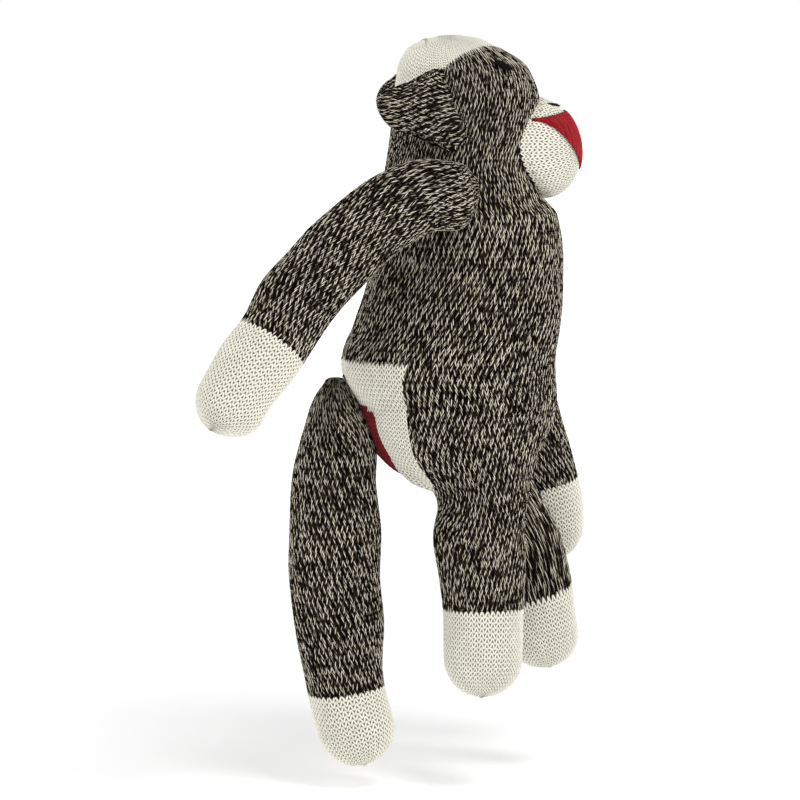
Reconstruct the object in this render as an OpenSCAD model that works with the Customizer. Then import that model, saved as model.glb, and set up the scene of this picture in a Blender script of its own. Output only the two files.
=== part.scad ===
// Knitted sock monkey: a stuffed tube of sock cloth with sewn-on arms, tail, ears and muzzle.
// Millimetres. +Z up, the face looks along -Y, the monkey's right side is at -X.
// The origin is the middle of the waist, where the toy is held.

/* [Body] */
// Half the width of the body at the waist
waist_half_w = 44; // [42:0.5:45]
// Height of the cut between the body and the head
neck_z = 78; // [77:0.5:79]
// Height of the top of the head
head_top = 138; // [137:0.5:140]

/* [Muzzle] */
// Half the width of the muzzle
muzzle_half_w = 24; // [22:0.5:25]
// Half the height of the muzzle
muzzle_half_h = 23.5; // [22:0.5:24]
// How far the muzzle stands out from the face
muzzle_depth = 18; // [14:0.5:20]

/* [Ears] */
// Length of an ear, from its root to its tip
ear_length = 40; // [34:1:44]
// Half the height of an ear at its root
ear_half_h = 17.5; // [14:0.5:18]
// Angle of the right ear from straight back
right_ear_splay = 28; // [20:1:85]
// Angle of the left ear from straight back
left_ear_splay = 75; // [20:1:85]

/* [Limbs] */
// Distance of each shoulder from the middle plane
shoulder_x = 55; // [55:0.5:58]
// Radius of the upper arm
arm_r = 17; // [15:0.5:17]
// Distance of each hip from the middle plane
hip_x = 23; // [22:0.5:23]
// Half the width of the thigh at the hip
thigh_half_w = 20.5; // [18:0.5:20.5]
// Half the depth of the thigh at the hip
thigh_half_d = 27; // [24:0.5:28]
// Radius of the tail at its fattest
tail_r = 21; // [17:0.5:21]

/* [Cloth and thread] */
// Thickness of the knitted cloth
cloth = 1.2; // [0.8:0.1:1.5]
// Radius of the sewing thread
thread_r = 0.5; // [0.4:0.1:0.7]
// Gap between pieces that move past each other
running_gap = 0.4; // [0.3:0.1:0.5]

/* [Hidden] */
marl = "#6b6252";
cream = "#e6e2d2";
red = "#a5101c";
black = "#101010";
stuffing = "#f4f2ea";
dark_thread = "#3a342b";
cream_thread = "#cfcab8";

// Gap between two pieces of the same body
fit_gap = 0.15;
// Looseness of the filling under the cloth
fill_gap = 0.6;
fill_inset = cloth + fit_gap + fill_gap;
// Sides of each soft section
sides = 20;
torso_sides = 24;
fill_sides = 12;

// Sections of the body from the crotch up: height, middle in depth, half width, half depth
BODY = [
    [-72, -4, 10, 10],
    [-66, -5.5, 28, 24],
    [-59, -5, 36, 34],
    [-48, -4.5, 41.5, 42],
    [-35, -3, waist_half_w, 46.5],
    [-22, 0, waist_half_w + 1, 50],
    [-12, 0, waist_half_w + 1, 50.5],
    [0, -3, waist_half_w, 49],
    [28, -8, 42, 45],
    [42, -9, 41, 44],
    [55, -8.5, 40, 42],
    [61, -6, 39.3, 39],
    [70, -4.5, 37.2, 35.5],
    [neck_z, -3.6, 33.5, 33.6],
    [93, -5.8, 31, 34],
    [109, -7.4, 30.5, 34],
    [118, -6.8, 29.5, 32],
    [125, -5.2, 27, 29],
    [132, -2, 20.5, 21.5],
    [136, -1, 13, 13.5],
    [head_top, 0, 4, 5]
];
body_bottom = BODY[0][0];

// The cream toe of the sock meets the marled cloth on a plane that falls towards the back
crown_seam_z = 121;
crown_seam_slope = -0.46;

neck_axis_y = -4;

muzzle_z = 85;
muzzle_base_y = -42;
muzzle_base_slope = 0.09;
muzzle_wrap_w = 31.5;

// Shoulders, hips, tail root and ear roots: the points they turn about
RIGHT_SHOULDER = [-shoulder_x, 11, 66];
LEFT_SHOULDER = [shoulder_x, 2, 64];
RIGHT_HIP = [-hip_x, -8, -64];
LEFT_HIP = [hip_x, -17, -62];
TAIL_ROOT = [0, 56, -24];
EAR_ROOT = [31.5, 7.7, 104];

// Limbs from root to end: middle point, half width, half depth
RIGHT_ARM = [
    concat(RIGHT_SHOULDER, [15.5, 15.5]),
    [-61, 30, 64.5, arm_r, arm_r],
    [-66, 54, 51, arm_r + 0.5, arm_r + 0.5],
    [-72, 83, 24, arm_r + 0.5, arm_r + 0.5],
    [-77, 100, 1, arm_r, arm_r],
    [-84, 119, -24, arm_r - 0.5, arm_r - 0.5]
];
LEFT_ARM = [
    concat(LEFT_SHOULDER, [15.5, 15.5]),
    [60.5, -14, 36, arm_r, arm_r],
    [64, -36, -5, arm_r, arm_r],
    [66, -52, -45, arm_r - 0.5, arm_r - 0.5],
    [68, -63, -81, arm_r - 1, arm_r - 1],
    [69.5, -66.5, -101, arm_r - 1.5, arm_r - 1.5]
];
RIGHT_LEG = [
    concat(RIGHT_HIP, [thigh_half_w, thigh_half_d]),
    [-23, -8.5, -84, 20, 23],
    [-24, -9.5, -107, 19.5, 20.5],
    [-26, -10.5, -130, 18.7, 18.7],
    [-27, -9.5, -153, 18, 18]
];
LEFT_LEG = [
    concat(LEFT_HIP, [thigh_half_w, thigh_half_d]),
    [23, -27, -82, 20, 23],
    [24, -39, -106, 19.5, 20.5],
    [25, -47, -130, 18.7, 18.7],
    [26, -51, -148, 18, 18]
];
TAIL = [
    concat(TAIL_ROOT, [4, 4]),
    [0, 56.8, -35, 10, 9.8],
    [0, 55.8, -48, 15.5, 14.8],
    [0, 55.2, -66, 19.5, 19],
    [0, 55.5, -90, tail_r, tail_r],
    [0, 54.5, -127, tail_r, tail_r],
    [0, 49.5, -169, tail_r - 2.7, tail_r - 2.7],
    [0, 45.5, -187, tail_r - 3, tail_r - 3]
];

// Share of each limb's path that is marled; the rest is the cream end
arm_marl = 0.8;
leg_marl = 0.75;
tail_marl = 6 / 7;

// Round ends beyond a limb's first and last points
shoulder_cap = 15.5;
hand_cap = 16;
foot_cap = 17;
tail_root_cap = 2.5;
tail_tip_cap = 18;

// ---- Curves -------------------------------------------------------------------------------

function unit(v) = v / norm(v);
function mix(a, b, t) = a + (b - a) * t;

// Smooth curve through b and c, t from 0 to 1
function smooth(a, b, c, d, t) =
    b + 0.5 * t * (c - a + t * (2 * a - 5 * b + 4 * c - d + t * (3 * (b - c) + d - a)));

function rows_up_to(p, z) = len([for (r = p) if (r[0] <= z) 1]);
function segment(p, z) = max(0, min(len(p) - 2, rows_up_to(p, z) - 1));

// Smooth row of the body at height z
function body_row(z) =
    let (i = segment(BODY, z), last = len(BODY) - 1)
    let (t = (z - BODY[i][0]) / (BODY[i + 1][0] - BODY[i][0]))
    smooth(BODY[max(0, i - 1)], BODY[i], BODY[i + 1], BODY[min(last, i + 2)], t);

// Point on the body's surface; a is the angle from the front, towards the monkey's left
function body_pt(z, a, inset = 0) =
    let (r = body_row(z))
    [(r[2] - inset) * sin(a), r[1] - (r[3] - inset) * cos(a), z];

function body_ring(z, inset, n) = [for (j = [0 : n - 1]) body_pt(z, j * 360 / n, inset)];

// Point at t along a limb, with its two half sizes
function limb_row(p, t) =
    let (last = len(p) - 1, s = t * last, i = min(last - 1, floor(s)))
    smooth(p[max(0, i - 1)], p[i], p[i + 1], p[min(last, i + 2)], s - i);

function place(r) = [r[0], r[1], r[2]];

function limb_way(p, t) =
    unit(place(limb_row(p, min(1, t + 0.02))) - place(limb_row(p, max(0, t - 0.02))));

// Ring about point c across direction w, half sizes a and b, a lying nearest to the X axis
function ring_at(c, w, a, b, n) =
    let (u = unit([1, 0, 0] - w[0] * w), v = cross(w, u))
    [for (j = [0 : n - 1]) c + a * cos(j * 360 / n) * u + b * sin(j * 360 / n) * v];

function limb_ring(p, t, inset, n) =
    let (r = limb_row(p, t))
    ring_at(place(r), limb_way(p, t), r[3] - inset, r[4] - inset, n);

// Ring of the round end at t (0 or 1); f is 0 at its rim and 90 at its pole
function cap_ring(p, t, cap, f, inset, n) =
    let (r = limb_row(p, t), w = limb_way(p, t), way = t == 0 ? -1 : 1)
    ring_at(
        place(r) + way * (cap - inset) * sin(f) * w,
        w, (r[3] - inset) * cos(f), (r[4] - inset) * cos(f), n
    );

root_angles = [76, 50, 25];
tip_angles = [25, 50, 76];

function root_rings(p, cap, inset, n) = [for (f = root_angles) cap_ring(p, 0, cap, f, inset, n)];
function tip_rings(p, cap, inset, n) = [for (f = tip_angles) cap_ring(p, 1, cap, f, inset, n)];
function path_rings(p, t0, t1, count, inset, n) =
    [for (i = [0 : count]) limb_ring(p, mix(t0, t1, i / count), inset, n)];

function backwards(list) = [for (i = [len(list) - 1 : -1 : 0]) list[i]];

// ---- Soft solids --------------------------------------------------------------------------

// Walls between a row of rings of n points; with loop the last ring joins the first
function walls(count, n, loop) = [
    for (i = [0 : count - (loop ? 1 : 2)], j = [0 : n - 1])
        let (a = i * n, b = (i + 1) % count * n, k = (j + 1) % n)
        each [[a + j, b + j, b + k], [a + j, b + k, a + k]]
];

// Solid through a row of rings; with loop the last ring joins the first, else both ends close
module soft(rings, loop = false) {
    n = len(rings[0]);
    count = len(rings);
    ends = loop ? [] : [
        [for (j = [0 : n - 1]) j],
        [for (j = [n - 1 : -1 : 0]) (count - 1) * n + j]
    ];
    polyhedron(points = [for (r = rings) each r], faces = concat(walls(count, n, loop), ends));
}

// The same for rings that are thin strips, one side out and the other side back
module thin_soft(rings) {
    n = len(rings[0]);
    count = len(rings);
    far = (count - 1) * n;
    ends = [
        for (j = [0 : n / 2 - 2])
            let (k = n - 1 - j)
            each [
                [j, j + 1, k - 1], [j, k - 1, k],
                [far + k - 1, far + j + 1, far + j], [far + k, far + k - 1, far + j]
            ]
    ];
    polyhedron(points = [for (r = rings) each r], faces = concat(walls(count, n, false), ends));
}

// Marled tube of a limb, open at its root and where the cream end begins
module limb_skin(p, cap, marl_end, count) {
    inner = concat(root_rings(p, cap, cloth, sides), path_rings(p, 0, marl_end, count, cloth, sides));
    outer = concat(root_rings(p, cap, 0, sides), path_rings(p, 0, marl_end, count, 0, sides));
    soft(concat(backwards(inner), outer), loop = true);
}

// Cream end of a limb, a cup that starts where the marled tube ends
module limb_end(p, cap, marl_end, count) {
    start = marl_end + 0.002;
    inner = concat(path_rings(p, start, 1, count, cloth, sides), tip_rings(p, cap, cloth, sides));
    outer = concat(path_rings(p, start, 1, count, 0, sides), tip_rings(p, cap, 0, sides));
    soft(concat(backwards(inner), outer));
}

module limb_fill(p, root_cap, tip_cap, count) {
    soft(concat(
        root_rings(p, root_cap, fill_inset, fill_sides),
        path_rings(p, 0, 1, count, fill_inset, fill_sides),
        tip_rings(p, tip_cap, fill_inset, fill_sides)
    ));
}

// Thread along points; flat is a direction that the thread never runs along
module thread(points, flat) {
    last = len(points) - 1;
    soft([
        for (i = [0 : last])
            let (w = unit(points[min(last, i + 1)] - points[max(0, i - 1)]))
            let (u = unit(cross(flat, w)), v = cross(w, u))
            [for (a = [0 : 60 : 300]) points[i] + thread_r * (cos(a) * u + sin(a) * v)]
    ]);
}

// Short closing stitch over the pole of a limb's end, lying across the limb
module tip_seam(p, cap) {
    r = limb_row(p, 1);
    w = limb_way(p, 1);
    u = unit([1, 0, 0] - w[0] * w);
    reach = cap + thread_r + 2 * fit_gap;
    thread(
        [for (a = [-32 : 8 : 32]) place(r) + reach * (cos(a) * w) + (r[3] + 1) * sin(a) * u],
        cross(w, u)
    );
}

// ---- Body ---------------------------------------------------------------------------------

// Space that a thigh needs as it swings from forward to backward
forward_swing = 82;
backward_swing = 22;
module thigh_swing(hip) {
    gap = running_gap + 0.9;
    reach = 60;
    side = sign(hip[0]);
    hull() {
        for (a = [-backward_swing : 26 : forward_swing], shift = [0, -2.4 * side])
            translate(hip + [shift, 0, 0])
                rotate([-a, 0, 0])
                    for (z = [0, -reach])
                        translate([0, 0, z])
                            resize([
                                2 * (thigh_half_w + gap), 2 * (thigh_half_d + gap),
                                2 * (thigh_half_d + gap)
                            ])
                                sphere(r = thigh_half_d, $fn = 16);
    }
}

torso_top = neck_z - running_gap / 2;
torso_steps = 18;
module torso_solid(inset, top, n) {
    low = body_bottom + inset;
    soft([
        for (i = [0 : torso_steps])
            body_ring(mix(low, top, i / torso_steps), inset, n)
    ]);
}

module torso_skin() {
    color(marl)
        difference() {
            torso_solid(0, torso_top, torso_sides);
            torso_solid(cloth, torso_top + 1, torso_sides);
            thigh_swing(RIGHT_HIP);
            thigh_swing(LEFT_HIP);
        }
}

module torso_fill() {
    color(stuffing)
        difference() {
            torso_solid(fill_inset, torso_top, fill_sides + 4);
            thigh_swing(RIGHT_HIP);
            thigh_swing(LEFT_HIP);
        }
}

// Rump patch: heights of its edges, and its spread each side of the back in degrees
rump_bottom = -62;
rump_top = -15;
rump_low_spread = 38;
rump_top_spread = 56;
red_bottom = -56;
red_top = -34;
red_low_spread = 20;
red_top_spread = 26;

// Patch of cloth that lies on the body from height z0 to z1
patch_thick = 0.8;
patch_lift = 0.45;
module body_patch(z0, z1, low_spread, high_spread, lift) {
    steps = 8;
    across = 10;
    thin_soft([
        for (i = [0 : steps])
            let (z = mix(z0, z1, i / steps), spread = mix(low_spread, high_spread, i / steps))
            let (angles = [for (j = [0 : across]) 180 + spread * (2 * j / across - 1)])
            concat(
                [for (a = angles) body_pt(z, a, -lift - patch_thick)],
                [for (a = backwards(angles)) body_pt(z, a, -lift)]
            )
    ]);
}

module rump_cream() {
    color(cream)
        difference() {
            body_patch(rump_bottom, rump_top, rump_low_spread, rump_top_spread, patch_lift);
            thigh_swing(RIGHT_HIP);
            thigh_swing(LEFT_HIP);
        }
}

module rump_red() {
    color(red)
        body_patch(
            red_bottom, red_top, red_low_spread, red_top_spread,
            patch_lift + patch_thick + fit_gap
        );
}

// Two rows of stitches over the patch's upper edge, one each side of the tail
rump_stitch_z = rump_top + 1.4;
module rump_stitch() {
    color(cream)
        for (from = [128, 192])
            thread([for (a = [from : 8 : from + 40]) body_pt(rump_stitch_z, a, -1)], [0, 0, 1]);
}

// Half ring of stitches that holds an arm's root to the body's side, over its top
stitch_ring_r = 9;
module shoulder_stitch(shoulder) {
    x = sign(shoulder[0]) * (body_row(shoulder[2])[2] + thread_r + fit_gap);
    color(dark_thread)
        translate([x, shoulder[1], shoulder[2]])
            rotate([0, 90, 0])
                rotate([0, 0, 90])
                    rotate_extrude(angle = 180, $fn = 48)
                        translate([stitch_ring_r, 0]) circle(r = thread_r, $fn = 16);
}
module right_shoulder_stitch() { shoulder_stitch(RIGHT_SHOULDER); }
module left_shoulder_stitch() { shoulder_stitch(LEFT_SHOULDER); }

module tail_stitch() {
    color(dark_thread) thread([for (x = [-9 : 3 : 9]) [x, 53.2 - abs(x) * 0.13, -18.6]], [0, 0, 1]);
}

// ---- Head ---------------------------------------------------------------------------------

// Height at which the body's surface at angle a meets the crown's seam plane
function crown_gap(z, a) = z - crown_seam_slope * body_pt(z, a)[1] - crown_seam_z;
function crown_z(a, low = 90, high = 137, turns = 12) =
    let (mid = (low + high) / 2)
    turns == 0 ? mid
    : crown_gap(mid, a) < 0 ? crown_z(a, mid, high, turns - 1) : crown_z(a, low, mid, turns - 1);

CROWN_LINE = [for (j = [0 : sides - 1]) crown_z(j * 360 / sides)];

function head_ring(t, inset) =
    [for (j = [0 : sides - 1])
        body_pt(mix(neck_z + running_gap / 2, CROWN_LINE[j] - 0.1, t), j * 360 / sides, inset)];

function crown_ring(t, top, inset) =
    [for (j = [0 : sides - 1])
        body_pt(mix(CROWN_LINE[j] + 0.1, top, t), j * 360 / sides, inset)];

module head_skin() {
    steps = 7;
    inner = [for (i = [0 : steps]) head_ring(i / steps, cloth)];
    outer = [for (i = [0 : steps]) head_ring(i / steps, 0)];
    color(marl) soft(concat(backwards(inner), outer), loop = true);
}

module crown_cap() {
    rises = [0, 0.3, 0.55, 0.75, 0.9, 1];
    inner = [for (t = rises) crown_ring(t, head_top - cloth, cloth)];
    outer = [for (t = rises) crown_ring(t, head_top, 0)];
    color(cream) soft(concat(backwards(inner), outer));
}

module head_fill() {
    bottom = neck_z + running_gap / 2;
    top = head_top - fill_inset;
    rises = [0, 0.2, 0.4, 0.55, 0.7, 0.8, 0.9, 0.96];
    color(stuffing)
        soft([for (t = rises) body_ring(mix(bottom, top, t), fill_inset, fill_sides)]);
}

// Short stitch that closes the toe, over the top of the head from side to side
module crown_seam() {
    color(cream_thread)
        thread([for (x = [-14 : 2 : 14]) [x, 12 + x * x / 60, 137.8 - x * x / 42]], [0, 1, 0]);
}

// Surface that the muzzle is sewn to
function face_y(x, z) =
    let (front = muzzle_base_y - (108 - z) * muzzle_base_slope)
    neck_axis_y + (front - neck_axis_y) * sqrt(max(0.05, 1 - pow(x / muzzle_wrap_w, 2)));

// Point of the dome; f is 0 at its rim and 90 at its tip, a runs round it
function dome_pt(a, f, inset) =
    let (x = (muzzle_half_w - inset) * cos(f) * cos(a))
    let (z = muzzle_z + (muzzle_half_h - inset) * cos(f) * sin(a))
    [x, face_y(x, z) - (muzzle_depth - inset) * sin(f), z];

function dome_ring(f, inset, n) = [for (j = [0 : n - 1]) dome_pt(j * 360 / n, f, inset)];

// Point of the dome in front of place x, z, lifted off it
function dome_front(x, z, lift) =
    let (c = pow(x / muzzle_half_w, 2) + pow((z - muzzle_z) / muzzle_half_h, 2))
    [x, face_y(x, z) - muzzle_depth * sqrt(max(0, 1 - c)) - lift, z];

module muzzle_skin() {
    angles = [0, 16, 32, 48, 64, 80];
    inner = [for (f = angles) dome_ring(f, cloth, sides)];
    outer = [for (f = angles) dome_ring(f, 0, sides)];
    color(cream) soft(concat(backwards(inner), outer));
}

module muzzle_fill() {
    color(stuffing)
        soft([for (f = [4, 20, 40, 60, 80]) dome_ring(f, fill_inset, fill_sides)]);
}

// Red mouth: a broad smile from cheek to cheek
smile_half_w = 18.5;
smile_top = 102;
smile_bottom = 75;
smile_corner = 97.3;
module lips() {
    steps = 12;
    rise = 6;
    color(red)
        thin_soft([
            for (i = [0 : steps])
                let (s = mix(-1, 1, i / steps), x = smile_half_w * s)
                let (high = mix(smile_top, smile_corner, s * s) + 0.3)
                let (low = mix(smile_bottom, smile_corner, s * s) - 0.3)
                concat(
                    [for (k = [0 : rise]) dome_front(x, mix(low, high, k / rise), 0.4)],
                    [for (k = [rise : -1 : 0]) dome_front(x, mix(low, high, k / rise), 1.2)]
                )
        ]);
}

module muzzle_stitch() {
    color(cream_thread)
        thread([for (a = [-60 : 10 : 240]) dome_pt(a, 6, -1.1)], [0, 1, 0]);
}

module nostril(side) {
    color(black)
        thread([for (x = [2.2 : 1.2 : 7]) dome_front(side * x, 104.5 + (x - 2) * 0.25, 1.2)], [0, 0, 1]);
}
module right_nostril() { nostril(-1); }
module left_nostril() { nostril(1); }

// Sewn oval eye, a flat button of thread
eye_angle = 60;
eye_z = 124.5;
eye_half_l = 5;
eye_half_h = 2.6;
eye_thick = 1.3;
module eye(side) {
    c = body_pt(eye_z, side * eye_angle, -0.9);
    up = unit(body_pt(eye_z + 2, side * eye_angle) - body_pt(eye_z - 2, side * eye_angle));
    along = unit(body_pt(eye_z, side * (eye_angle + 4)) - body_pt(eye_z, side * (eye_angle - 4)));
    n = unit(cross(along, up)) * side;
    u = unit(cross(up, n));
    v = cross(n, u);
    color(black)
        soft([
            for (f = [0, 40, 75])
                [for (a = [0 : 22.5 : 337.5])
                    c + eye_half_l * cos(f) * cos(a) * u + eye_half_h * cos(f) * sin(a) * v
                    + eye_thick * sin(f) * n]
        ]);
}
module right_eye() { eye(-1); }
module left_eye() { eye(1); }

// ---- Ears ---------------------------------------------------------------------------------

// Half oval, standing on edge: middle point, half thickness, half height
function ear_rows(side) =
    let (splay = side > 0 ? left_ear_splay : right_ear_splay)
    let (way = [side * sin(splay), cos(splay), 0])
    let (root = [side * EAR_ROOT[0], EAR_ROOT[1], EAR_ROOT[2]])
    [for (r = [[0, 3, 0.96], [0.28, 3.6, 1], [0.55, 3.5, 0.92], [0.78, 3.2, 0.7], [0.93, 2.9, 0.42]])
        concat(root + r[0] * ear_length * way, [r[1], r[2] * ear_half_h])];

ear_cap = 3;
module ear_skin(side) {
    p = ear_rows(side);
    inner = concat(root_rings(p, ear_cap, 1, sides), path_rings(p, 0, 1, 6, 1, sides),
        tip_rings(p, ear_cap, 1, sides));
    outer = concat(root_rings(p, ear_cap, 0, sides), path_rings(p, 0, 1, 6, 0, sides),
        tip_rings(p, ear_cap, 0, sides));
    color(marl) soft(concat(backwards(inner), outer), loop = false);
}
module right_ear_skin() { ear_skin(-1); }
module left_ear_skin() { ear_skin(1); }

module ear_fill(side) {
    p = ear_rows(side);
    color(stuffing)
        soft(concat(root_rings(p, ear_cap, 1.4, fill_sides), path_rings(p, 0, 0.9, 5, 1.4, fill_sides)));
}
module right_ear_fill() { ear_fill(-1); }
module left_ear_fill() { ear_fill(1); }

// Half the body's width at height z and depth y
function flank_x(y, z) = let (r = body_row(z)) r[2] * sqrt(1 - pow((y - r[1]) / r[3], 2));

module ear_stitch(side) {
    y = EAR_ROOT[1] - 5;
    lift = thread_r + fit_gap;
    color(dark_thread)
        thread([for (z = [90 : 4 : 118]) [side * (flank_x(y, z) + lift), y, z]], [0, 1, 0]);
}
module right_ear_stitch() { ear_stitch(-1); }
module left_ear_stitch() { ear_stitch(1); }

// ---- Arms, legs and tail ------------------------------------------------------------------

module right_arm_skin() { color(marl) limb_skin(RIGHT_ARM, shoulder_cap, arm_marl, 9); }
module right_hand() { color(cream) limb_end(RIGHT_ARM, hand_cap, arm_marl, 2); }
module right_arm_fill() { color(stuffing) limb_fill(RIGHT_ARM, shoulder_cap, hand_cap, 9); }
module right_hand_seam() { color(cream_thread) tip_seam(RIGHT_ARM, hand_cap); }

module left_arm_skin() { color(marl) limb_skin(LEFT_ARM, shoulder_cap, arm_marl, 9); }
module left_hand() { color(cream) limb_end(LEFT_ARM, hand_cap, arm_marl, 2); }
module left_arm_fill() { color(stuffing) limb_fill(LEFT_ARM, shoulder_cap, hand_cap, 9); }
module left_hand_seam() { color(cream_thread) tip_seam(LEFT_ARM, hand_cap); }

module right_leg_skin() { color(marl) limb_skin(RIGHT_LEG, thigh_half_d, leg_marl, 6); }
module right_foot() { color(cream) limb_end(RIGHT_LEG, foot_cap, leg_marl, 2); }
module right_leg_fill() { color(stuffing) limb_fill(RIGHT_LEG, thigh_half_d, foot_cap, 7); }
module right_foot_seam() { color(cream_thread) tip_seam(RIGHT_LEG, foot_cap); }

module left_leg_skin() { color(marl) limb_skin(LEFT_LEG, thigh_half_d, leg_marl, 6); }
module left_foot() { color(cream) limb_end(LEFT_LEG, foot_cap, leg_marl, 2); }
module left_leg_fill() { color(stuffing) limb_fill(LEFT_LEG, thigh_half_d, foot_cap, 7); }
module left_foot_seam() { color(cream_thread) tip_seam(LEFT_LEG, foot_cap); }

module tail_skin() { color(marl) limb_skin(TAIL, tail_root_cap, tail_marl, 11); }
module tail_tip() { color(cream) limb_end(TAIL, tail_tip_cap, tail_marl, 2); }
module tail_fill() { color(stuffing) limb_fill(TAIL, tail_root_cap, tail_tip_cap, 11); }
module tail_tip_seam() { color(cream_thread) tip_seam(TAIL, tail_tip_cap); }

torso_skin();
torso_fill();
rump_cream();
rump_red();
rump_stitch();
right_shoulder_stitch();
left_shoulder_stitch();
tail_stitch();
head_skin();
crown_cap();
head_fill();
crown_seam();
muzzle_skin();
muzzle_fill();
lips();
muzzle_stitch();
right_nostril();
left_nostril();
right_eye();
left_eye();
right_ear_stitch();
left_ear_stitch();
right_ear_skin();
right_ear_fill();
left_ear_skin();
left_ear_fill();
right_arm_skin();
right_hand();
right_arm_fill();
right_hand_seam();
left_arm_skin();
left_hand();
left_arm_fill();
left_hand_seam();
right_leg_skin();
right_foot();
right_leg_fill();
right_foot_seam();
left_leg_skin();
left_foot();
left_leg_fill();
left_foot_seam();
tail_skin();
tail_tip();
tail_fill();
tail_tip_seam();
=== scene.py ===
"""Looks of the knitted sock monkey: real stitches in mesh, procedural yarn, studio light.

Lengths in this file are millimetres, in the CAD's frame; meshes are scaled to metres.
"""

import math

import bpy
import numpy as np
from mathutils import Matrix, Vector


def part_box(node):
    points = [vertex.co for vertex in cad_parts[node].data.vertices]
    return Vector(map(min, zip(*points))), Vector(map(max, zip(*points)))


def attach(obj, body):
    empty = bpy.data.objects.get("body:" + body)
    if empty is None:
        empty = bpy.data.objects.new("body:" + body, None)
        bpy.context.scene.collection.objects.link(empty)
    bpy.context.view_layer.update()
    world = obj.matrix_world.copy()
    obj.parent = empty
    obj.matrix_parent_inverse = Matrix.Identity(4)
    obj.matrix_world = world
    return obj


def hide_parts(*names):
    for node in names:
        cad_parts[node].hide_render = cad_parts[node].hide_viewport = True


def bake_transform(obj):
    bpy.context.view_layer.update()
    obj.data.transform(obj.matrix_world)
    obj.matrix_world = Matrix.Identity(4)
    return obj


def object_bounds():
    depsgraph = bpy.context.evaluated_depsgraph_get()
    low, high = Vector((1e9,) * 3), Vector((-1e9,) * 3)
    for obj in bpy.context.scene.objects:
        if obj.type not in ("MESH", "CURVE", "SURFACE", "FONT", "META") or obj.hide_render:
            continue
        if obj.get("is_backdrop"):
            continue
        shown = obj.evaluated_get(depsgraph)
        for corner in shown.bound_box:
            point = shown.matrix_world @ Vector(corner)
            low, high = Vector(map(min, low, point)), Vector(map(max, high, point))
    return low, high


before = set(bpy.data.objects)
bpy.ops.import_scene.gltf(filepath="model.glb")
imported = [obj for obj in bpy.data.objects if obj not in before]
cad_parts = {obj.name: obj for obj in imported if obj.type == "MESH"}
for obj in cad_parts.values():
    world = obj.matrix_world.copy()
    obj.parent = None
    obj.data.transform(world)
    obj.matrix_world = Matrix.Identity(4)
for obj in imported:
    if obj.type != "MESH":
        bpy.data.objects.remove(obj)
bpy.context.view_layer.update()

MM = 0.001
PI = math.pi

# ---- Knit ----------------------------------------------------------------------------------

WALE_COLUMNS = 6       # mesh columns in one column of stitches (two legs of three)
COURSE_ROWS = 4        # mesh rows in one row of stitches
SLANT = 0.75           # rows of stitches that a leg rises from the wale's middle to its edge
ACROSS = 2.6           # how fast a leg falls away across its strand
ALONG = 0.5            # and along it
RELIEF = 0.52          # height of the stitches
COURSE = 2.35          # height of one row of stitches
OPEN_SLANT = 0.5       # SLANT for the cream cloth, whose holes lie in a honeycomb
FULL_WALE = 2.1        # width from which a wale's stitches have their full height
VALLEY = -0.15         # lowest height between two stitches
MID_HEIGHT = 0.45      # height of a stitch that lies on the surface itself
LUMP = 0.55            # unevenness of the filling
LUMP_SIZE = 24.0       # width of the filling's bumps
LUMP_WAVES = 9


def unit(v):
    return v / np.maximum(np.linalg.norm(v, axis=-1, keepdims=True), 1e-12)


def mix(a, b, t):
    return a + (b - a) * t


def ease(t):
    t = np.clip(t, 0, 1)
    return t * t * (3 - 2 * t)


def smooth_rows(rows, index):
    """Catmull-Rom curve through the rows, at fractional row numbers."""
    last = len(rows) - 1
    i = np.clip(np.floor(index).astype(int), 0, last - 1)
    t = (index - i)[..., None]
    a, b = rows[np.maximum(i - 1, 0)], rows[i]
    c, d = rows[i + 1], rows[np.minimum(i + 2, last)]
    return b + 0.5 * t * (c - a + t * (2 * a - 5 * b + 4 * c - d + t * (3 * (b - c) + d - a)))


def lumps(p):
    """Smooth unevenness over points p, mostly from -1 to 1."""
    rng = np.random.default_rng(1)
    total = np.zeros(p.shape[:-1])
    for _ in range(LUMP_WAVES):
        way = unit(rng.normal(size=3))
        wave = 2 * PI / (LUMP_SIZE * rng.uniform(0.7, 1.6))
        total += np.sin(p @ way * wave + rng.uniform(0, 2 * PI))
    return total / math.sqrt(LUMP_WAVES)


def leg_height(a, b):
    """Height of a stitch leg; a runs from the wale's middle to its edge, b along the row."""
    one = 1 - ACROSS * (a - b) ** 2 - ALONG * (a + b - 1) ** 2
    return np.maximum(one, VALLEY)


def stitch_relief(a, row):
    """Height of the stitches at a mesh row; on a border it is the mean of both rows'."""
    b = (row % COURSE_ROWS) / COURSE_ROWS
    h = leg_height(a, b)
    border = 0.5 * (leg_height(a, 0.0) + leg_height(a, 1.0))
    return np.where(row % COURSE_ROWS == 0, border, h)


def surface_normals(p, wrap):
    """Unit normals of a grid of points, and the distance between its columns."""
    if wrap:
        du = np.roll(p, -1, 1) - np.roll(p, 1, 1)
    else:
        du = np.gradient(p, axis=1)
    dv = np.gradient(p, axis=0)
    return unit(np.cross(du, dv)), np.linalg.norm(du, axis=-1) / 2


def corners(row, next_row, c, right):
    """Vertex numbers of quads between two rows' first vertices, at columns c and right."""
    return np.stack([row + c, row + right, next_row + right, next_row + c], 1)


def corner_pairs(u0, u1, v0, v1):
    """UV of the same four corners."""
    pairs = ((u0, v0), (u1, v0), (u1, v1), (u0, v1))
    return np.stack([np.stack(pair, 1) for pair in pairs], 1)


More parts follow.
